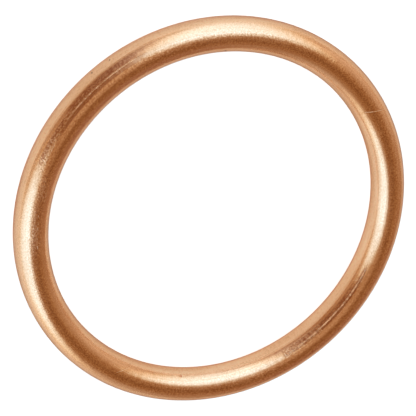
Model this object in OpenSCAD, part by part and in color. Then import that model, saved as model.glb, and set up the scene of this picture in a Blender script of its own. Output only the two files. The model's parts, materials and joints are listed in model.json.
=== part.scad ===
// Exhaust pipe gasket: one closed copper ring, pressed between a cylinder head's exhaust port
// and the flared end of the exhaust pipe. It lies on its lower crown, at z = 0, around the Z axis.

/* [Ring] */
// Diameter of the bore, which the exhaust gas passes through
bore_d = 38; // [16:0.5:80]
// Radial width of the section, from the wall of the bore to the outer wall
section_w = 3.75; // [1.5:0.25:8]
// Height of the straight land on the wall of the bore and on the outer wall
land_h = 0.25; // [0.05:0.05:4]

/* [Hidden] */
$fn = 180;

bore_r = bore_d / 2;
// The crowns are full round: their radius is half the section's width
crown_r = section_w / 2;
// Radius of the circle that the middle of the section runs along
pitch_r = bore_r + crown_r;

// The section stands on z = 0, with its middle on the pitch circle: a round crown below, a round
// crown above, and between them the two straight lands that both crowns run into
module section() {
    for (crown_z = [crown_r, crown_r + land_h]) {
        translate([pitch_r, crown_z])
            circle(r = crown_r);
    }
    translate([bore_r, crown_r])
        square([section_w, land_h]);
}

module gasket_ring() {
    color("peru")
        rotate_extrude()
            section();
}

gasket_ring();
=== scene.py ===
"""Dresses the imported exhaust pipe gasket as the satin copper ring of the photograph, on a white table.

Lengths are in metres. The ring lies on z = 0 around the Z axis. A point of its surface is named by two
angles: its azimuth around the ring, from +X towards +Y, and its section angle, which is 0 on top of the
upper crown, a quarter turn on the outer wall and minus a quarter turn on the wall of the bore.
"""

import json
import math

import bpy
import numpy as np
from mathutils import Matrix, Vector


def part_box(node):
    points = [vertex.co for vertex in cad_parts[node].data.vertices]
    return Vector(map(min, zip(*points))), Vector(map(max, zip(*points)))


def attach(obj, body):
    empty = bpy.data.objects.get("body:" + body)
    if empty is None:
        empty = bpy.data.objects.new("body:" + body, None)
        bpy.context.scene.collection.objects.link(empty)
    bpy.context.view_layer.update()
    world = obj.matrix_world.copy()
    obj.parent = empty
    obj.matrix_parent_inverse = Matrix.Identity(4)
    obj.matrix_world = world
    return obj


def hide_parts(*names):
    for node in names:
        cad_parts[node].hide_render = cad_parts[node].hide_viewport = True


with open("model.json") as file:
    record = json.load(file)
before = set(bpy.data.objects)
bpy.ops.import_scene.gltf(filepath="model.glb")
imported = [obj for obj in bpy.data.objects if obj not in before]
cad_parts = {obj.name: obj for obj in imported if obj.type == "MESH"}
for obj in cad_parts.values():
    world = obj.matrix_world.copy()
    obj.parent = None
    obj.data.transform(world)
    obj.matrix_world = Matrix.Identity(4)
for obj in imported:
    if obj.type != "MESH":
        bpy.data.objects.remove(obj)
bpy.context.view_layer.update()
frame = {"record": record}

MM = 0.001
MICRON = 0.000001

# Sizes of the ring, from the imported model
mounts = {mount["name"]: mount for mount in frame["record"]["mounts"]}
ring_low, ring_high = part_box("gasket_ring")
bore_r = mounts["bore"]["dims"]["r_mm"] * MM
outer_r = mounts["outer_wall"]["dims"]["r_mm"] * MM
height = ring_high[2] - ring_low[2]
crown_r = (outer_r - bore_r) / 2
pitch_r = bore_r + crown_r
mid_z = ring_low[2] + height / 2
half_land = height / 2 - crown_r

# The mesh of the ring: the visible upper crown has the finer rows
COLUMNS = 600
UPPER_ROWS = 108
LOWER_ROWS = 50
BAKE_STRIPS = 3
BAKE_MARGIN = 0.01

# The worn surface lies a little below the true one, so that what stands proud stays inside it
SINK = 9 * MICRON
PEEN_HEIGHT = 1.6 * MICRON
PEEN_WAVES = 70
PEEN_SEED = 11
PEEN_AROUND = (50, 150)
PEEN_ACROSS = (-10, 11)
RIDGE_HEIGHT = 8 * MICRON
RIDGE_HALF_WIDTH = 0.13 * MM
RIDGE_END_SHARE = 0.3
PIT_DEPTH = 25 * MICRON

# Marks on the surface, as azimuth and section angle in degrees. A speck also has its radius in mm.
NEAR_LINE = [(254, 28), (258, 31.5), (270, 30.5), (283, 31.5)]
FAR_LINE = [(75.5, -34.5), (84, -37), (97, -38.5), (103, -37), (118, -36.5)]
LEFT_DASHES = [(311, -6), (317, -8), (323, -9)]
HAIRLINE = [(172, 40), (175.5, -33)]
SCRATCHES = [[(13, -31), (20, -24)], [(19.5, -48), (15.2, -8)], [(39, -50), (38, -34)]]
DARK_SPECKS = [(269.5, 87, 0.13), (263.8, 81.5, 0.11), (230.8, -53, 0.16)]
RED_DOT = (39, -57.5, 0.13)

# Patches of the surface: middle azimuth, half its reach, middle section angle, half its reach
COARSE_PATCHES = [(281, 22, 31, 17), (98, 22, -35, 13), (312, 15, -6, 18)]
HATCHED_PATCH = (84, 8, -38, 17)
# The dark bands and streaks are a painted dark reflection: darker copper where the ring faces back towards
# the camera
DARK_BANDS = [(95.5, 21, -46, 10), (270, 15.5, 43, 11), (290, 9, 36, 9)]
DARK_STREAKS = [(96, 21.5, -31, 4), (272, 20, 23, 7)]
PATCH_EDGE_SHARE = 0.45
HATCHED_EDGE_SHARE = 0.06

# Noises of the surface: length around the ring, width across it, and detail
BRUSHING = (7 * MM, 0.18 * MM, 2.0)
HATCHING = (0.2 * MM, 1.1 * MM, 2.0)
GRAIN = (0.18 * MM, 0.16 * MM, 1.0)
CLOUDS = (5 * MM, 1.6 * MM, 3.0)
BLOTCHES = (1.3 * MM, 0.5 * MM, 3.0)
BREAKS = (0.35 * MM, 0.35 * MM, 1.0)

# The values of a noise that count as none of a thing, and as all of it
LINE_BY_BREAKS = (0.42, 0.56)
DASHES_BY_BREAKS = (0.5, 0.62)
COARSE_BY_CLOUDS = (0.3, 0.55)
BANDS_BY_GRAIN = (0.58, 0.45)
GAPS_BY_HATCHING = (0.47, 0.56)

# How strong each mark is, where 1 is full
FAINTEST_OF_LINE = 0.25
FAINTEST_OF_BANDS = 0.45
DASH_STRENGTH = 0.4
HATCHED_STRENGTH = 0.6
SHORT_SCRATCH_STRENGTH = 0.35
SCRATCHES_ON_COLOUR = 0.7
NEAR_OUTLINE_STRENGTH = 0.5
STREAK_STRENGTH = 0.8
GAP_STRENGTH = 0.7
# Painted shade: how far the dark bands, streaks and outlines darken the copper
PAINTED_SHADE_ON_COLOUR = 0.8
MARKS_ON_COLOUR = 0.95

# Half the width of each mark, and the shares of their size over which their ends and sides fade
NEAR_LINE_REACH = 0.06 * MM
NEAR_OUTLINE_REACH = 0.16 * MM
FAR_LINE_REACH = 0.11 * MM
FAR_OUTLINE_REACH = 0.26 * MM
DASH_REACH = 0.06 * MM
HAIRLINE_REACH = 0.07 * MM
SCRATCH_REACH = 0.045 * MM
LINE_END_SHARE = 0.06
LINE_SIDE_SHARE = 0.5
STROKE_END_SHARE = 0.1
SPECK_EDGE_SHARE = 0.6

# The crown shows more grain on top: in full up to the first section angle, not at all past the second
WORN_FULL = math.radians(10)
WORN_NONE = math.radians(27)

# Heights of the fine relief that only the material has
BRUSHING_HEIGHT = 8 * MICRON
HATCHING_HEIGHT = 2 * MICRON
GRAIN_HEIGHT = 5 * MICRON
ROUGHENED_HEIGHT = 17 * MICRON
BLOTCH_HEIGHT = 3 * MICRON
LINE_HEIGHT = 8 * MICRON
BURR_HEIGHT = 30 * MICRON
SCRATCH_HEIGHT = -12 * MICRON

# How much each noise moves the tone of the copper
GRAIN_TONE = 0.7
ROUGHENED_TONE = 2.2
WORN_TONE = 1.3
BRUSHING_TONE = 0.5
CLOUDS_TONE = 0.4

# Colours of the copper, from its darkest tone to its lightest, and of what is on it
DARK_COPPER = (0.62, 0.34, 0.17, 1)
LIGHT_COPPER = (1.0, 0.76, 0.55, 1)
# Painted shade: the dark copper of the dark bands, streaks and outlines
PAINTED_SHADE_COPPER = (0.40, 0.16, 0.08, 1)
BARE_COPPER = (1.0, 0.74, 0.49, 1)
SPECK_COLOUR = (0.20, 0.10, 0.06, 1)
RED_COLOUR = (0.50, 0.10, 0.04, 1)

# Gloss of the copper: its lowest roughness, what each thing adds to that, its tint and its brushing
LOWEST_ROUGHNESS = 0.156
BLOTCH_ROUGHNESS = 0.05
ROUGHENED_ROUGHNESS = 0.1
SPECK_ROUGHNESS = 0.3
MARK_ROUGHNESS = 0.65
LINE_ROUGHNESS = 0.845
GRAZING_TINT = (0.63, 0.53, 0.55, 1)
BRUSHED_ANISOTROPY = 0.8
ACROSS_THE_BRUSHING = 0.25

# The camera: it looks down at the ring and is turned about its own axis
FOCAL_LENGTH = 128.67
SENSOR_WIDTH = 36.0
CAMERA_TILT = math.radians(30.022)
CAMERA_ROLL = math.radians(138.566)
CAMERA_DISTANCE = 7.8752 * pitch_r
CAMERA_SIDE = -0.0412 * pitch_r
CAMERA_RISE = 0.0441 * pitch_r
CAMERA_NEAREST = 0.01
CAMERA_FARTHEST = 10

# The table and the dim room around it
TABLE_R = 2.5
TABLE_SIDES = 64
TABLE_COLOUR = (0.85, 0.85, 0.85, 1)
TABLE_ROUGHNESS = 0.35
TABLE_TO_CAMERA = (0.80, 0.80, 0.80, 1)
TABLE_TO_GLOSS = (0.50, 0.31, 0.14, 1)
ROOM_R = 1.2
ROOM_SIDES = 48
ROOM_RINGS = 18
ROOM_TOP_ANGLE = 85
WORLD_FILL = (0.06, 0.06, 0.06, 1)
WHITE = (1, 1, 1, 1)
BLACK = (0, 0, 0, 1)

# The room's colour, and the places in it that are lighter or, with a tint below 0, darker:
# azimuth and elevation in the studio, half the width in degrees, and what the middle adds to the colour
ROOM_COLOUR = (0.389, 0.178, 0.060)
ROOM_PLACES = [
    ("overhead", 13, 89.5, 14.1, (0.27, 0.24, 0.20)),
    ("far_high", 6, 57, 14.8, (-0.11, -0.06, -0.02)),
    ("far", 0, 15, 20, (0.00, 0.02, 0.07)),
    ("left_far", -70, 15, 30, (0.43, 0.41, 0.36)),
    ("right_far", 55, 6, 25, (0.41, 0.47, 0.46)),
    ("right_near", 150, 15, 25, (0.16, 0.15, 0.13)),
    ("left_near", -150, 25, 22, (0.37, 0.45, 0.51)),
]

# The lamps: how far they stand, their brightest light, and how fast red, green and blue fall off from it
LAMP_DISTANCE = 0.31
LAMP_PEAK = (1.13, 1.94, 2.84)
LAMP_CURVE = (0.73, 1.0, 1.34)


def direction(azimuth, elevation):
    """The way to a thing in the studio: azimuth 0 is behind the ring for the camera, 90 is on its right."""
    a, e = math.radians(azimuth), math.radians(elevation)
    return Vector((math.sin(a) * math.cos(e), math.cos(a) * math.cos(e), math.sin(e)))


def add_object(name, data):
    thing = bpy.data.objects.new(name, data)
    bpy.context.scene.collection.objects.link(thing)
    return thing


def ring_rows():
    """The section angle of each row, from the foot round the bore, and the rise of its crown's centre."""
    quarter = math.pi / 2
    inner = np.linspace(-2 * quarter, -quarter, LOWER_ROWS // 2 + 1)
    upper = np.linspace(-quarter, quarter, UPPER_ROWS + 1)
    outer = np.linspace(quarter, 2 * quarter, LOWER_ROWS // 2 + 1)[:-1]
    rises = np.repeat([-half_land, half_land, -half_land], [len(inner), len(upper), len(outer)])
    return np.concatenate([inner, upper, outer]), rises


def peened(azimuth, section):
    """Shallow random waves, about 1 mm from crest to crest, between about -1 and 1."""
    chance = np.random.default_rng(PEEN_SEED)
    waves = np.zeros_like(azimuth + section)
    for _ in range(PEEN_WAVES):
        around = chance.integers(*PEEN_AROUND)
        across = chance.integers(*PEEN_ACROSS)
        waves += np.sin(around * azimuth + across * section + chance.uniform(0, 2 * math.pi))
    return waves * math.sqrt(2 / PEEN_WAVES)


def near_line(azimuth, section, line, half_width):
    """1 on a line that runs around the ring, falling smoothly to 0 at its sides and ends."""
    along, across = np.radians(line).T
    off = np.abs(section - np.interp(azimuth, along, across)) * crown_r
    reach = (along[-1] - along[0]) / 2
    ends = np.clip((reach - np.abs(azimuth - along[0] - reach)) / (RIDGE_END_SHARE * reach), 0, 1)
    return ends * np.exp(-((2 * off / half_width) ** 2))


def near_spot(azimuth, section, spot):
    """1 in the middle of a round spot, falling smoothly to 0 past its edge."""
    a, s, radius = spot
    along = np.sin(azimuth - math.radians(a)) * pitch_r
    across = (section - math.radians(s)) * crown_r
    front = np.cos(azimuth - math.radians(a)) > 0
    return np.where(front, np.exp(-(along ** 2 + across ** 2) / (radius * MM) ** 2), 0)


def relief(azimuth, section):
    """How far the worn surface stands below the true one."""
    depth = SINK - PEEN_HEIGHT * peened(azimuth, section)
    for line in (NEAR_LINE, FAR_LINE):
        depth -= RIDGE_HEIGHT * near_line(azimuth, section, line, RIDGE_HALF_WIDTH)
    for spot in DARK_SPECKS + [RED_DOT]:
        depth += PIT_DEPTH * near_spot(azimuth, section, spot)
    return np.maximum(depth, 0)


def make_ring():
    azimuth = np.linspace(0, 2 * math.pi, COLUMNS, endpoint=False)[:, None]
    section, rise = ring_rows()
    depth = relief(azimuth, section[None, :])
    radius = pitch_r + (crown_r - depth) * np.sin(section)
    z = mid_z + rise + (crown_r - depth) * np.cos(section)
    points = np.stack([radius * np.cos(azimuth), radius * np.sin(azimuth), z], axis=-1).reshape(-1, 3)

    rows = len(section)
    column = np.arange(COLUMNS)[:, None]
    row = np.arange(rows)[None, :]
    next_column = (column + 1) % COLUMNS
    next_row = (row + 1) % rows
    corners = [column * rows + row, column * rows + next_row,
               next_column * rows + next_row, next_column * rows + row]
    faces = np.stack(corners, axis=-1).reshape(-1, 4)

    mesh = bpy.data.meshes.new("copper_ring")
    mesh.from_pydata(points.tolist(), [], faces.tolist())
    mesh.polygons.foreach_set("use_smooth", [True] * len(faces))
    unwrap(mesh, rows)
    mesh.update()
    return add_object("copper_ring", mesh)


def unwrap(mesh, rows):
    """Lays the surface out flat as a few equal lengths of the ring, one above the other."""
    columns = COLUMNS // BAKE_STRIPS
    column = np.arange(COLUMNS)[:, None]
    row = np.arange(rows)[None, :]
    strip = column // columns
    left = (column % columns) / columns + 0 * row
    low = row / rows + 0 * column
    right = left + 1 / columns
    high = low + 1 / rows
    width = 1 - 2 * BAKE_MARGIN
    lift = 1 / BAKE_STRIPS
    layout = []
    for u, v in ((left, low), (left, high), (right, high), (right, low)):
        placed = [BAKE_MARGIN + width * u, (strip + BAKE_MARGIN + width * v) * lift]
        layout.append(np.stack(placed, axis=-1))
    layer = mesh.uv_layers.new(name="OFBake")
    layer.data.foreach_set("uv", np.stack(layout, axis=2).ravel())


class Formula:
    """Builds the nodes of a material from sums, products and noises."""

    def __init__(self, tree):
        self.tree = tree

    def node(self, kind, output, inputs, **settings):
        node = self.tree.nodes.new(kind)
        for name, value in settings.items():
            setattr(node, name, value)
        for socket, value in inputs.items():
            self.put(value, node.inputs[socket])
        return node.outputs[output]

    def put(self, value, socket):
        if isinstance(value, bpy.types.NodeSocket):
            self.tree.links.new(value, socket)
        else:
            socket.default_value = value

    def split(self, vector):
        node = self.tree.nodes.new("ShaderNodeSeparateXYZ")
        self.put(vector, node.inputs[0])
        return node.outputs

    def math(self, operation, *values):
        return self.node("ShaderNodeMath", "Value", dict(enumerate(values)), operation=operation)

    def chain(self, operation, values):
        result = values[0]
        for value in values[1:]:
            result = self.math(operation, result, value)
        return result

    def total(self, *values):
        return self.chain("ADD", values)

    def product(self, *values):
        return self.chain("MULTIPLY", values)

    def highest(self, *values):
        return self.chain("MAXIMUM", values)

    def opposite(self, value):
        return self.math("SUBTRACT", 1, value)

    def absolute(self, value):
        return self.math("ABSOLUTE", value)

    def around_half(self, noise):
        return self.math("SUBTRACT", noise, 0.5)

    def at_least(self, floor, value):
        """The value, squeezed from between 0 and 1 to between a floor and 1."""
        return self.total(self.product(value, 1 - floor), floor)

    def length(self, across, along):
        return self.math("SQRT", self.total(self.product(across, across), self.product(along, along)))

    def fade(self, value, none, full):
        """0 at and past none, 1 at and past full, smooth between them."""
        inputs = {"Value": value, "From Min": none, "From Max": full}
        return self.node("ShaderNodeMapRange", "Result", inputs, interpolation_type="SMOOTHSTEP")

    def noise(self, point, length, width, detail):
        """Random patches between 0 and 1, of the given length around the ring and width across it."""
        scale = (1 / length, 1 / length, 1 / width)
        scaled = self.node("ShaderNodeVectorMath", "Vector", {0: point, 1: scale}, operation="MULTIPLY")
        return self.node("ShaderNodeTexNoise", "Fac", {"Vector": scaled, "Scale": 1.0, "Detail": detail})

    def mix(self, factor, first, second):
        node = self.tree.nodes.new("ShaderNodeMix")
        node.data_type = "RGBA"
        colours = [socket for socket in node.inputs if socket.type == "RGBA"]
        self.put(factor, node.inputs[0])
        self.put(first, colours[0])
        self.put(second, colours[1])
        return next(socket for socket in node.outputs if socket.type == "RGBA")


class RingPlace:
    """Where a shaded point is on the ring, and how near it is to the marks there."""

    def __init__(self, f):
        self.f = f
        x, y, z = f.split(f.node("ShaderNodeTexCoord", "Object", {}))
        radius = f.length(x, y)
        rise = f.math("SUBTRACT", z, mid_z)
        land = f.math("MAXIMUM", f.math("MINIMUM", rise, half_land), -half_land)
        outward, upward = f.math("SUBTRACT", radius, pitch_r), f.math("SUBTRACT", rise, land)
        self.section = f.math("ARCTAN2", outward, upward)
        self.cosine = f.math("DIVIDE", x, radius)
        self.sine = f.math("DIVIDE", y, radius)
        around = {"X": f.product(self.cosine, pitch_r), "Y": f.product(self.sine, pitch_r),
                  "Z": f.product(self.section, crown_r)}
        self.point = f.node("ShaderNodeCombineXYZ", "Vector", around)

    def along(self, azimuth):
        """The way around the ring from an azimuth, as a length."""
        f = self.f
        a = math.radians(azimuth)
        ahead = f.total(f.product(self.cosine, math.cos(a)), f.product(self.sine, math.sin(a)))
        aside = f.total(f.product(self.sine, math.cos(a)), f.product(self.cosine, -math.sin(a)))
        return f.product(f.math("ARCTAN2", aside, ahead), pitch_r)

    def across(self, section):
        """The way over the surface from a section angle, as a length."""
        f = self.f
        return f.product(f.math("SUBTRACT", self.section, math.radians(section)), crown_r)

    def patch(self, azimuth, reach, section, half_height, edge_share=PATCH_EDGE_SHARE):
        """1 inside a patch, 0 outside it."""
        f = self.f
        length = math.radians(reach) * pitch_r
        width = math.radians(half_height) * crown_r
        ends = f.fade(f.absolute(self.along(azimuth)), length, length * (1 - edge_share))
        sides = f.fade(f.absolute(self.across(section)), width, width * (1 - edge_share))
        return f.product(ends, sides)

    def patches(self, places):
        return self.f.highest(*[self.patch(*place) for place in places])

    def spot(self, azimuth, section, radius):
        """1 inside a round spot, 0 outside it."""
        edge = radius * MM
        off = self.f.length(self.along(azimuth), self.across(section))
        return self.f.fade(off, edge, edge * (1 - SPECK_EDGE_SHARE))

    def stroke(self, start, end, half_width):
        """1 on a straight stroke between two places, 0 off it."""
        f = self.f
        middle = ((start[0] + end[0]) / 2, (start[1] + end[1]) / 2)
        run = math.radians(end[0] - start[0]) * pitch_r
        climb = math.radians(end[1] - start[1]) * crown_r
        length = math.hypot(run, climb)
        along, across = self.along(middle[0]), self.across(middle[1])
        ahead = f.total(f.product(along, run / length), f.product(across, climb / length))
        aside = f.total(f.product(along, -climb / length), f.product(across, run / length))
        ends = f.fade(f.absolute(ahead), length / 2, length * (0.5 - STROKE_END_SHARE))
        sides = f.fade(f.absolute(aside), half_width, 0)
        return f.product(ends, sides)

    def line(self, points, half_width):
        """1 on a line of strokes that runs around the ring, 0 off it."""
        f = self.f
        first, last = points[0][0], points[-1][0]
        lowest = min(section for _, section in points)
        highest = max(section for _, section in points)
        along = self.along((first + last) / 2)
        run = math.radians(last - first) * pitch_r
        node = f.tree.nodes.new("ShaderNodeFloatCurve")
        f.put(f.total(f.product(along, 1 / run), 0.5), node.inputs["Value"])
        shape = [((a - first) / (last - first), (s - lowest) / (highest - lowest)) for a, s in points]
        curve = node.mapping.curves[0]
        curve.points[0].location = shape[0]
        curve.points[1].location = shape[-1]
        for place in shape[1:-1]:
            curve.points.new(*place)
        node.mapping.update()
        rise = math.radians(highest - lowest)
        wanted = f.total(f.product(node.outputs["Value"], rise), math.radians(lowest))
        off = f.product(f.absolute(f.math("SUBTRACT", self.section, wanted)), crown_r)
        ends = f.fade(f.absolute(along), run / 2, run * (0.5 - LINE_END_SHARE))
        sides = f.fade(off, half_width, half_width * (1 - LINE_SIDE_SHARE))
        return f.product(ends, sides)


class CopperSkin:
    """Bare copper, brushed around the ring: its grain and marks, painted shade beside some of them, and its
    height, colour and roughness.
    """

    def __init__(self, f):
        self.f = f
        place = RingPlace(f)
        self.brushing = f.noise(place.point, *BRUSHING)
        self.hatching = f.noise(place.point, *HATCHING)
        self.grain = f.noise(place.point, *GRAIN)
        self.clouds = f.noise(place.point, *CLOUDS)
        self.blotches = f.noise(place.point, *BLOTCHES)
        self.breaks = f.noise(place.point, *BREAKS)
        self.add_raised_marks(place)
        self.add_scratches(place)
        self.add_dark_marks(place)

    def add_raised_marks(self, place):
        """The two broken lines, the dashes, and the patches with a coarser grain."""
        f = self.f
        broken = f.at_least(FAINTEST_OF_LINE, f.fade(self.breaks, *LINE_BY_BREAKS))
        near, far = place.line(NEAR_LINE, NEAR_LINE_REACH), place.line(FAR_LINE, FAR_LINE_REACH)
        self.lines = f.product(f.highest(near, far), broken)
        dash_breaks = f.fade(self.breaks, *DASHES_BY_BREAKS)
        self.dashes = f.product(place.line(LEFT_DASHES, DASH_REACH), dash_breaks, DASH_STRENGTH)
        coarse = f.product(place.patches(COARSE_PATCHES), f.fade(self.clouds, *COARSE_BY_CLOUDS))
        self.hatched = place.patch(*HATCHED_PATCH, edge_share=HATCHED_EDGE_SHARE)
        self.roughened = f.highest(coarse, f.product(self.hatched, HATCHED_STRENGTH))
        self.worn = f.fade(f.absolute(place.section), WORN_NONE, WORN_FULL)

    def add_scratches(self, place):
        """The hairline over the crown and a few short scratches."""
        f = self.f
        hairline = place.stroke(*HAIRLINE, HAIRLINE_REACH)
        short = f.highest(*[place.stroke(*ends, SCRATCH_REACH) for ends in SCRATCHES])
        self.scratches = f.highest(hairline, f.product(short, SHORT_SCRATCH_STRENGTH))
        self.marks = f.highest(self.lines, self.dashes, f.product(self.scratches, SCRATCHES_ON_COLOUR))

    def add_dark_marks(self, place):
        """The painted shade of the dark bands, of the streaks and of the dark outlines beside the lines, and
        the dark specks.
        """
        f = self.f
        near_outline = f.product(place.line(NEAR_LINE, NEAR_OUTLINE_REACH), NEAR_OUTLINE_STRENGTH)
        outlines = f.highest(near_outline, place.line(FAR_LINE, FAR_OUTLINE_REACH))
        speckled = f.at_least(FAINTEST_OF_BANDS, f.fade(self.grain, *BANDS_BY_GRAIN))
        bands = f.product(place.patches(DARK_BANDS), speckled)
        streaks = f.product(place.patches(DARK_STREAKS), STREAK_STRENGTH)
        gaps = f.product(self.hatched, f.fade(self.hatching, *GAPS_BY_HATCHING), GAP_STRENGTH)
        bare = f.opposite(f.highest(self.lines, gaps))
        # Painted shade, left off the lines themselves and the gaps of the hatching
        self.painted_shade = f.product(f.highest(bands, streaks, outlines), bare)
        self.specks = f.highest(*[place.spot(*spot) for spot in DARK_SPECKS])
        self.red = place.spot(*RED_DOT)

    def bump(self):
        f = self.f
        burrs = f.total(f.product(self.breaks, BURR_HEIGHT), LINE_HEIGHT)
        height = f.total(
            f.product(self.brushing, BRUSHING_HEIGHT),
            f.product(self.hatching, HATCHING_HEIGHT),
            f.product(self.grain, f.total(f.product(self.roughened, ROUGHENED_HEIGHT), GRAIN_HEIGHT)),
            f.product(self.blotches, BLOTCH_HEIGHT),
            f.product(f.highest(self.lines, self.dashes), burrs),
            f.product(self.scratches, SCRATCH_HEIGHT),
        )
        return f.node("ShaderNodeBump", "Normal", {"Strength": 1.0, "Distance": 1.0, "Height": height})

    def colour(self):
        f = self.f
        coarseness = f.total(f.product(self.roughened, ROUGHENED_TONE), f.product(self.worn, WORN_TONE))
        tone = f.total(
            0.5,
            f.product(f.around_half(self.grain), f.total(coarseness, GRAIN_TONE)),
            f.product(f.around_half(self.brushing), BRUSHING_TONE),
            f.product(f.around_half(self.clouds), CLOUDS_TONE),
        )
        copper = f.mix(tone, DARK_COPPER, LIGHT_COPPER)
        # Painted shade: darker copper on the dark bands, streaks and outlines
        copper = f.mix(f.product(self.painted_shade, PAINTED_SHADE_ON_COLOUR), copper, PAINTED_SHADE_COPPER)
        copper = f.mix(f.product(self.marks, MARKS_ON_COLOUR), copper, BARE_COPPER)
        copper = f.mix(self.specks, copper, SPECK_COLOUR)
        return f.mix(self.red, copper, RED_COLOUR)

    def roughness(self):
        f = self.f
        return f.total(
            LOWEST_ROUGHNESS,
            f.product(self.blotches, BLOTCH_ROUGHNESS),
            f.product(self.roughened, ROUGHENED_ROUGHNESS),
            f.product(self.specks, SPECK_ROUGHNESS),
            f.highest(f.product(self.marks, MARK_ROUGHNESS), f.product(self.lines, LINE_ROUGHNESS)),
        )


def copper_material():
    material = bpy.data.materials.new("satin_copper")
    material.use_nodes = True
    f = Formula(material.node_tree)
    skin = CopperSkin(f)
    shader = material.node_tree.nodes["Principled BSDF"].inputs
    f.put(skin.colour(), shader["Base Color"])
    f.put(skin.roughness(), shader["Roughness"])
    f.put(skin.bump(), shader["Normal"])
    f.put(f.node("ShaderNodeTangent", "Tangent", {}, direction_type="RADIAL", axis="Z"), shader["Tangent"])
    shader["Metallic"].default_value = 1.0
    shader["Specular Tint"].default_value = GRAZING_TINT
    shader["Anisotropic"].default_value = BRUSHED_ANISOTROPY
    shader["Anisotropic Rotation"].default_value = ACROSS_THE_BRUSHING
    return material


def backdrop_colour(f, to_camera, to_gloss, to_rest):
    """The light a backdrop gives: to the camera's own rays, to those in metal or glass, and to the rest."""
    path = f.tree.nodes.new("ShaderNodeLightPath").outputs
    shown = f.highest(path["Is Glossy Ray"], path["Is Transmission Ray"])
    return f.mix(path["Is Camera Ray"], f.mix(shown, to_rest, to_gloss), to_camera)


def make_table():
    angles = np.linspace(0, 2 * math.pi, TABLE_SIDES, False)
    mesh = bpy.data.meshes.new("table")
    mesh.from_pydata([(TABLE_R * math.cos(a), TABLE_R * math.sin(a), 0) for a in angles], [],
                     [list(range(TABLE_SIDES))])
    table = add_object("table", mesh)

    material = bpy.data.materials.new("white_table")
    material.use_nodes = True
    tree = material.node_tree
    shader = tree.nodes["Principled BSDF"].inputs
    shader["Base Color"].default_value = TABLE_COLOUR
    shader["Roughness"].default_value = TABLE_ROUGHNESS
    shader["Emission Strength"].default_value = 1.0
    glow = backdrop_colour(Formula(tree), TABLE_TO_CAMERA, TABLE_TO_GLOSS, BLACK)
    tree.links.new(glow, shader["Emission Color"])
    mesh.materials.append(material)


def make_world():
    world = bpy.data.worlds.new("studio")
    bpy.context.scene.world = world
    world.use_nodes = True
    tree = world.node_tree
    colour = backdrop_colour(Formula(tree), WHITE, WHITE, WORLD_FILL)
    tree.links.new(colour, tree.nodes["Background"].inputs["Color"])


def make_room():
    """The dim room around the table, which only the metal's reflections show."""
    angles = np.linspace(0, 2 * math.pi, ROOM_SIDES, False)
    points = []
    for elevation in np.radians(np.linspace(0, ROOM_TOP_ANGLE, ROOM_RINGS)):
        r, z = ROOM_R * math.cos(elevation), ROOM_R * math.sin(elevation)
        points += [(r * math.cos(a), r * math.sin(a), z) for a in angles]
    faces = []
    for low in range(0, (ROOM_RINGS - 1) * ROOM_SIDES, ROOM_SIDES):
        high = low + ROOM_SIDES
        for j in range(ROOM_SIDES):
            k = (j + 1) % ROOM_SIDES
            faces.append((low + j, low + k, high + k, high + j))
    faces.append(list(range((ROOM_RINGS - 1) * ROOM_SIDES, ROOM_RINGS * ROOM_SIDES)))
    mesh = bpy.data.meshes.new("room")
    mesh.from_pydata(points, [], faces)
    mesh.materials.append(room_material())
    room = add_object("room", mesh)
    room.visible_camera = False
    room.visible_diffuse = False
    room.visible_transmission = False
    room.visible_volume_scatter = False
    room.visible_shadow = False


def room_material():
    """Dim warm walls, with a few softly bounded places that are lighter and one that is darker."""
    material = bpy.data.materials.new("dim_room")
    material.use_nodes = True
    tree = material.node_tree
    tree.nodes.clear()
    f = Formula(tree)
    position = f.node("ShaderNodeNewGeometry", "Position", {})
    way = f.node("ShaderNodeVectorMath", "Vector", {0: position}, operation="NORMALIZE")
    colour = ROOM_COLOUR
    for name, azimuth, elevation, width, tint in ROOM_PLACES:
        middle = direction(azimuth, elevation)
        nearness = f.node("ShaderNodeVectorMath", "Value", {0: way, 1: middle}, operation="DOT_PRODUCT")
        spread = 1 - math.cos(math.radians(width))
        strength = f.math("EXPONENT", f.product(f.math("SUBTRACT", nearness, 1), 1 / spread))
        added = {0: tint, "Scale": strength}
        change = f.node("ShaderNodeVectorMath", "Vector", added, operation="SCALE", label=name)
        colour = f.node("ShaderNodeVectorMath", "Vector", {0: colour, 1: change}, operation="ADD")
    emission = f.node("ShaderNodeEmission", "Emission", {"Color": colour})
    f.put(emission, tree.nodes.new("ShaderNodeOutputMaterial").inputs["Surface"])
    return material


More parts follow.
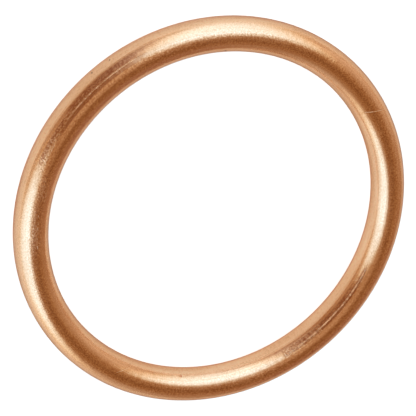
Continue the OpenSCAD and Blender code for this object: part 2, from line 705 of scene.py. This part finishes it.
def make_softbox(name, azimuth, elevation, width, length, roll, fades, dimmest):
    """A rectangular lamp that faces the ring, brightest at its upper edge and dimmest at its lower one.

    Its sides are given for a distance of 1. Its edges fade inwards over the given shares of its sides:
    the left, the right, the lower and the upper edge. As in a photograph, the brightest light turns
    white and the dimmer light is warm.
    """
    light = bpy.data.lights.new(name, "AREA")
    light.shape = "RECTANGLE"
    light.size = width * LAMP_DISTANCE
    light.size_y = length * LAMP_DISTANCE
    light.energy = math.pi * light.size * light.size_y
    light.use_nodes = True
    f = Formula(light.node_tree)
    right, down, _ = f.split(f.node("ShaderNodeNewGeometry", "Parametric", {}))
    up = f.opposite(down)
    sides = (right, f.opposite(right), up, down)
    shape = f.product(*[f.fade(inwards, 0, share) for inwards, share in zip(sides, fades)])
    share = f.product(shape, f.at_least(dimmest, up))
    channels = [f.product(f.math("POWER", share, curve), peak) for curve, peak in zip(LAMP_CURVE, LAMP_PEAK)]
    colour = f.node("ShaderNodeCombineColor", "Color", dict(enumerate(channels)))
    f.put(colour, light.node_tree.nodes["Emission"].inputs["Color"])

    lamp = add_object(name, light)
    way = direction(azimuth, elevation)
    level = Vector((math.cos(math.radians(azimuth)), -math.sin(math.radians(azimuth)), 0))
    turn = math.radians(roll)
    x_axis = level * math.cos(turn) + level.cross(way) * math.sin(turn)
    rotation = Matrix((x_axis, way.cross(x_axis), way)).transposed().to_4x4()
    lamp.matrix_world = Matrix.Translation(way * LAMP_DISTANCE + Vector((0, 0, mid_z))) @ rotation
    lamp.visible_camera = False


def make_camera():
    optics = bpy.data.cameras.new("camera")
    optics.lens = FOCAL_LENGTH
    optics.sensor_width = SENSOR_WIDTH
    optics.clip_start = CAMERA_NEAREST
    optics.clip_end = CAMERA_FARTHEST
    camera = add_object("camera", optics)
    camera.matrix_world = (
        Matrix.Translation((0, 0, mid_z))
        @ Matrix.Rotation(CAMERA_TILT, 4, "X")
        @ Matrix.Rotation(CAMERA_ROLL, 4, "Z")
        @ Matrix.Translation((CAMERA_SIDE, CAMERA_RISE, CAMERA_DISTANCE))
    )
    bpy.context.scene.camera = camera


ring = make_ring()
ring.data.materials.append(copper_material())
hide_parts("gasket_ring")
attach(ring, "root")

make_table()
make_world()
make_room()
make_softbox("right_softbox", azimuth=100.4, elevation=24.9, width=2.01, length=1.92, roll=50.1,
             fades=(0.52, 0.33, 0.46, 0.32), dimmest=0.46)
make_softbox("left_softbox", azimuth=-116.4, elevation=36.9, width=1.61, length=2.02, roll=-13.4,
             fades=(0.38, 0.43, 0.20, 0.33), dimmest=0.43)
make_camera()
bpy.context.scene.view_settings.view_transform = "Standard"
